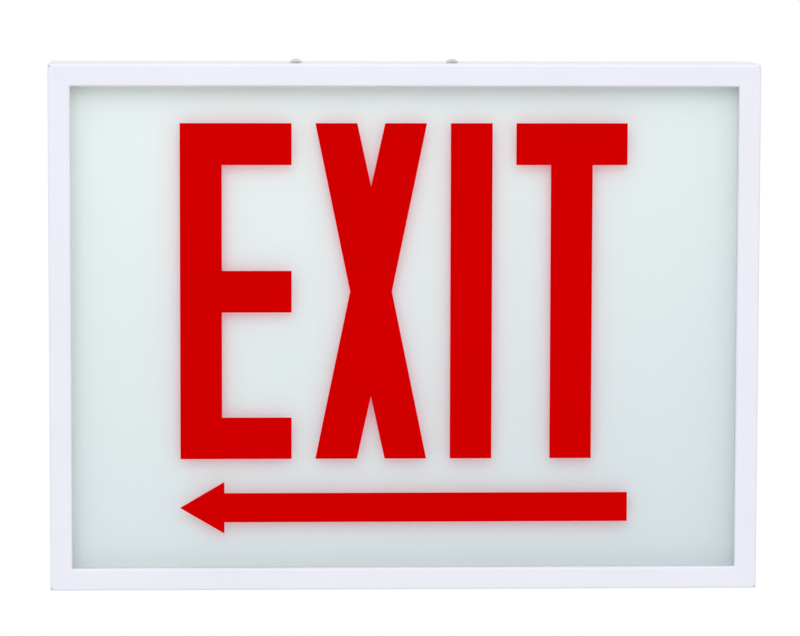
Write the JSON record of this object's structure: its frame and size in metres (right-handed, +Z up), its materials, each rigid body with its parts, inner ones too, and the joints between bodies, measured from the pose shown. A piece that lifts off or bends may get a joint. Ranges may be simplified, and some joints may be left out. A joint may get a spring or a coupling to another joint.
{
  "type": "emergency exit light",
  "caption": "Wall-mounted steel emergency exit light: shallow light box with a hinged glazed front, LED bars, gear tray, standby battery and test button.",
  "frame": {"origin": "centre of the back plate's outer face, which is also the centre of the wall bolt pattern", "axes": "+X to the right along the sign's width, +Z up, the glazed front faces -Y and the back plate faces +Y"},
  "size_m": [0.4334, 0.0635, 0.3274],
  "materials": {
    "white_powder_coat": "semi-gloss white powder coat",
    "galvanised_steel": "galvanised steel",
    "zinc_hardware": "bright zinc plated",
    "gasket_rubber": "matt black",
    "clear_glass": "polished tempered glass",
    "opal_acrylic": "opal satin",
    "white_plastic": "matt white",
    "black_plastic": "matt black",
    "green_plating": "green dyed zinc",
    "circuit_laminate": "green solder mask",
    "white_laminate": "white solder mask",
    "capacitor_sleeve": "dark blue sleeve",
    "relay_case": "blue plastic",
    "heat_sink_aluminium": "black anodised",
    "fuse_glass": "clear glass, nickel caps",
    "terminal_plastic": "green plastic",
    "socket_plastic": "natural nylon",
    "core_steel": "varnished laminations",
    "winding_tape": "yellow polyester tape",
    "led_lens": "phosphor under clear resin",
    "cell_sleeve": "blue heat-shrunk sleeve",
    "button_red": "red plastic",
    "indicator_red": "red tinted lens",
    "lead_sleeve": "lead insulation",
    "white_lead_sleeve": "lead insulation"
  },
  "bodies": {
    "box": {"back_box": "white_powder_coat", "box_hinge_leaves": "galvanised_steel", "hinge_pins": "zinc_hardware", "catch_clips": "galvanised_steel", "entry_bushing": "black_plastic", "ground_screw": "green_plating", "gear_tray": "white_powder_coat", "tray_screws": "zinc_hardware", "tray_nuts": "zinc_hardware", "charger_board": "circuit_laminate", "board_standoffs": "zinc_hardware", "board_screws": "zinc_hardware", "filter_capacitors": "capacitor_sleeve", "transfer_relay": "relay_case", "heat_sink": "heat_sink_aluminium", "charge_regulator": "black_plastic", "fuse": "fuse_glass", "fuse_clips": "zinc_hardware", "terminal_block": "terminal_plastic", "lead_sockets": "socket_plastic", "transformer_core": "core_steel", "transformer_winding": "winding_tape", "transformer_strap": "galvanised_steel", "transformer_screws": "zinc_hardware", "led_channels": "galvanised_steel", "led_boards": "white_laminate", "led_packages": "led_lens", "led_board_screws": "zinc_hardware", "battery_pack": "cell_sleeve", "battery_clips": "galvanised_steel", "test_switch_body": "black_plastic", "test_switch_spring": "zinc_hardware", "test_switch_nut": "zinc_hardware", "indicator_bezel": "black_plastic", "indicator_lens": "indicator_red", "battery_leads": "lead_sleeve", "left_led_leads": "white_lead_sleeve", "right_led_leads": "white_lead_sleeve", "switch_leads": "lead_sleeve", "lead_saddles": "white_plastic"},
    "door": {"front_frame": "white_powder_coat", "glass_gasket": "gasket_rubber", "glass_pane": "clear_glass", "spacer_frame": "white_plastic", "diffuser_sheet": "opal_acrylic", "clip_studs": "zinc_hardware", "pane_clips": "zinc_hardware", "clip_nuts": "zinc_hardware", "door_hinge_leaves": "galvanised_steel", "catch_studs": "zinc_hardware"},
    "test_button": {"test_button": "button_red"}
  },
  "joints": [
    {"name": "door_hinge", "type": "hinge", "parent": "box", "child": "door", "pos_m": [0.2159, -0.04785, 0], "axis": [0, 0, 1], "range_deg": [0, 105]},
    {"name": "test_press", "type": "slide", "parent": "box", "child": "test_button", "axis": [0, 0, 1], "range_m": [0, 0.0018], "stiffness_N_per_m": 400, "springref_m": -0.003, "deforming": ["test_switch_spring"]}
  ]
}
